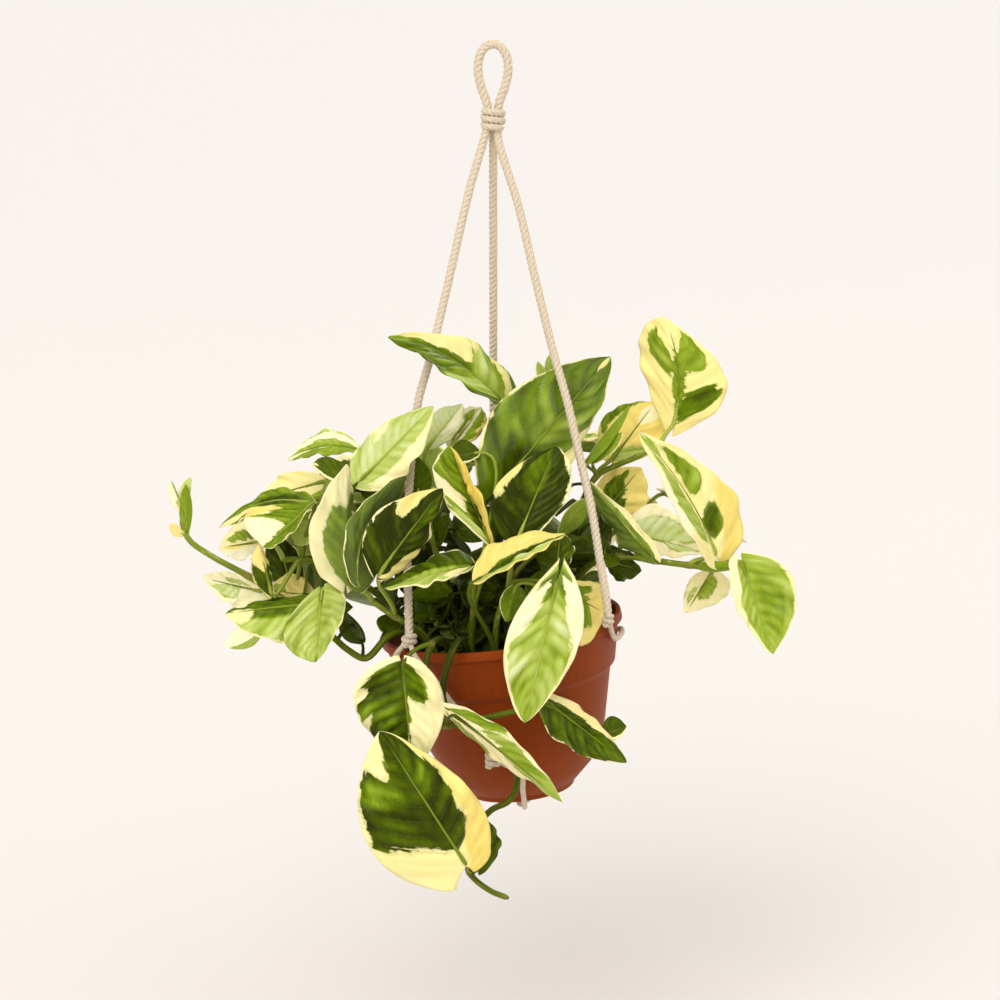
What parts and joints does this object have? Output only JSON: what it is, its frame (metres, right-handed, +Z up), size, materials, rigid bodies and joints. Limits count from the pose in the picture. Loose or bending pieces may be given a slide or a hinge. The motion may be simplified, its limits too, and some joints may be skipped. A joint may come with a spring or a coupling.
{
  "type": "potted enjoy pothos in a rope hanger",
  "caption": "Variegated pothos with trailing leafy stems in a round terracotta-coloured pot with drain holes, hung by a knotted rope hanger with a top loop.",
  "frame": {"origin": "inside top of the hanger's loop, the point where a hook bears", "axes": "+Z up along the hanger, -Y towards the front of the plant, +X to the right as seen from the front"},
  "size_m": [0.3208, 0.2211, 0.4297],
  "materials": {
    "pot": "matte, terracotta-coloured",
    "soil": "moist loose potting mix",
    "rope": "twisted three-strand cotton, natural",
    "foliage": "waxy, green with cream and yellow patches"
  },
  "bodies": {
    "root": {"pot": "pot", "soil": "soil", "hanger_loop": "rope", "hanger_binding": "rope", "leg_left": "rope", "rim_knot_left": "rope", "leg_right": "rope", "rim_knot_right": "rope", "leg_back": "rope", "rim_knot_back": "rope", "net_cord_left_front": "rope", "net_cord_right_right": "rope", "net_cord_back_right": "rope", "net_cord_back_left": "rope", "net_cord_left_left": "rope", "side_knot_front": "rope", "under_cord_front": "rope", "side_knot_right": "rope", "under_cord_right": "rope", "side_knot_left": "rope", "under_cord_left": "rope", "bottom_knot": "rope", "vine_left_runner": "foliage", "vine_left_upper": "foliage", "vine_left_middle": "foliage", "vine_front_left": "foliage", "vine_crown_left": "foliage", "vine_crown_front": "foliage", "vine_crown_top": "foliage", "vine_crown_right": "foliage", "vine_crown_middle": "foliage", "vine_front_right": "foliage", "vine_right_upper": "foliage", "vine_right_runner": "foliage", "vine_front_vine": "foliage", "vine_hanging_vine": "foliage", "vine_back_left": "foliage", "vine_back_middle": "foliage", "vine_back_right": "foliage", "vine_back_trail": "foliage"}
  },
  "joints": []
}
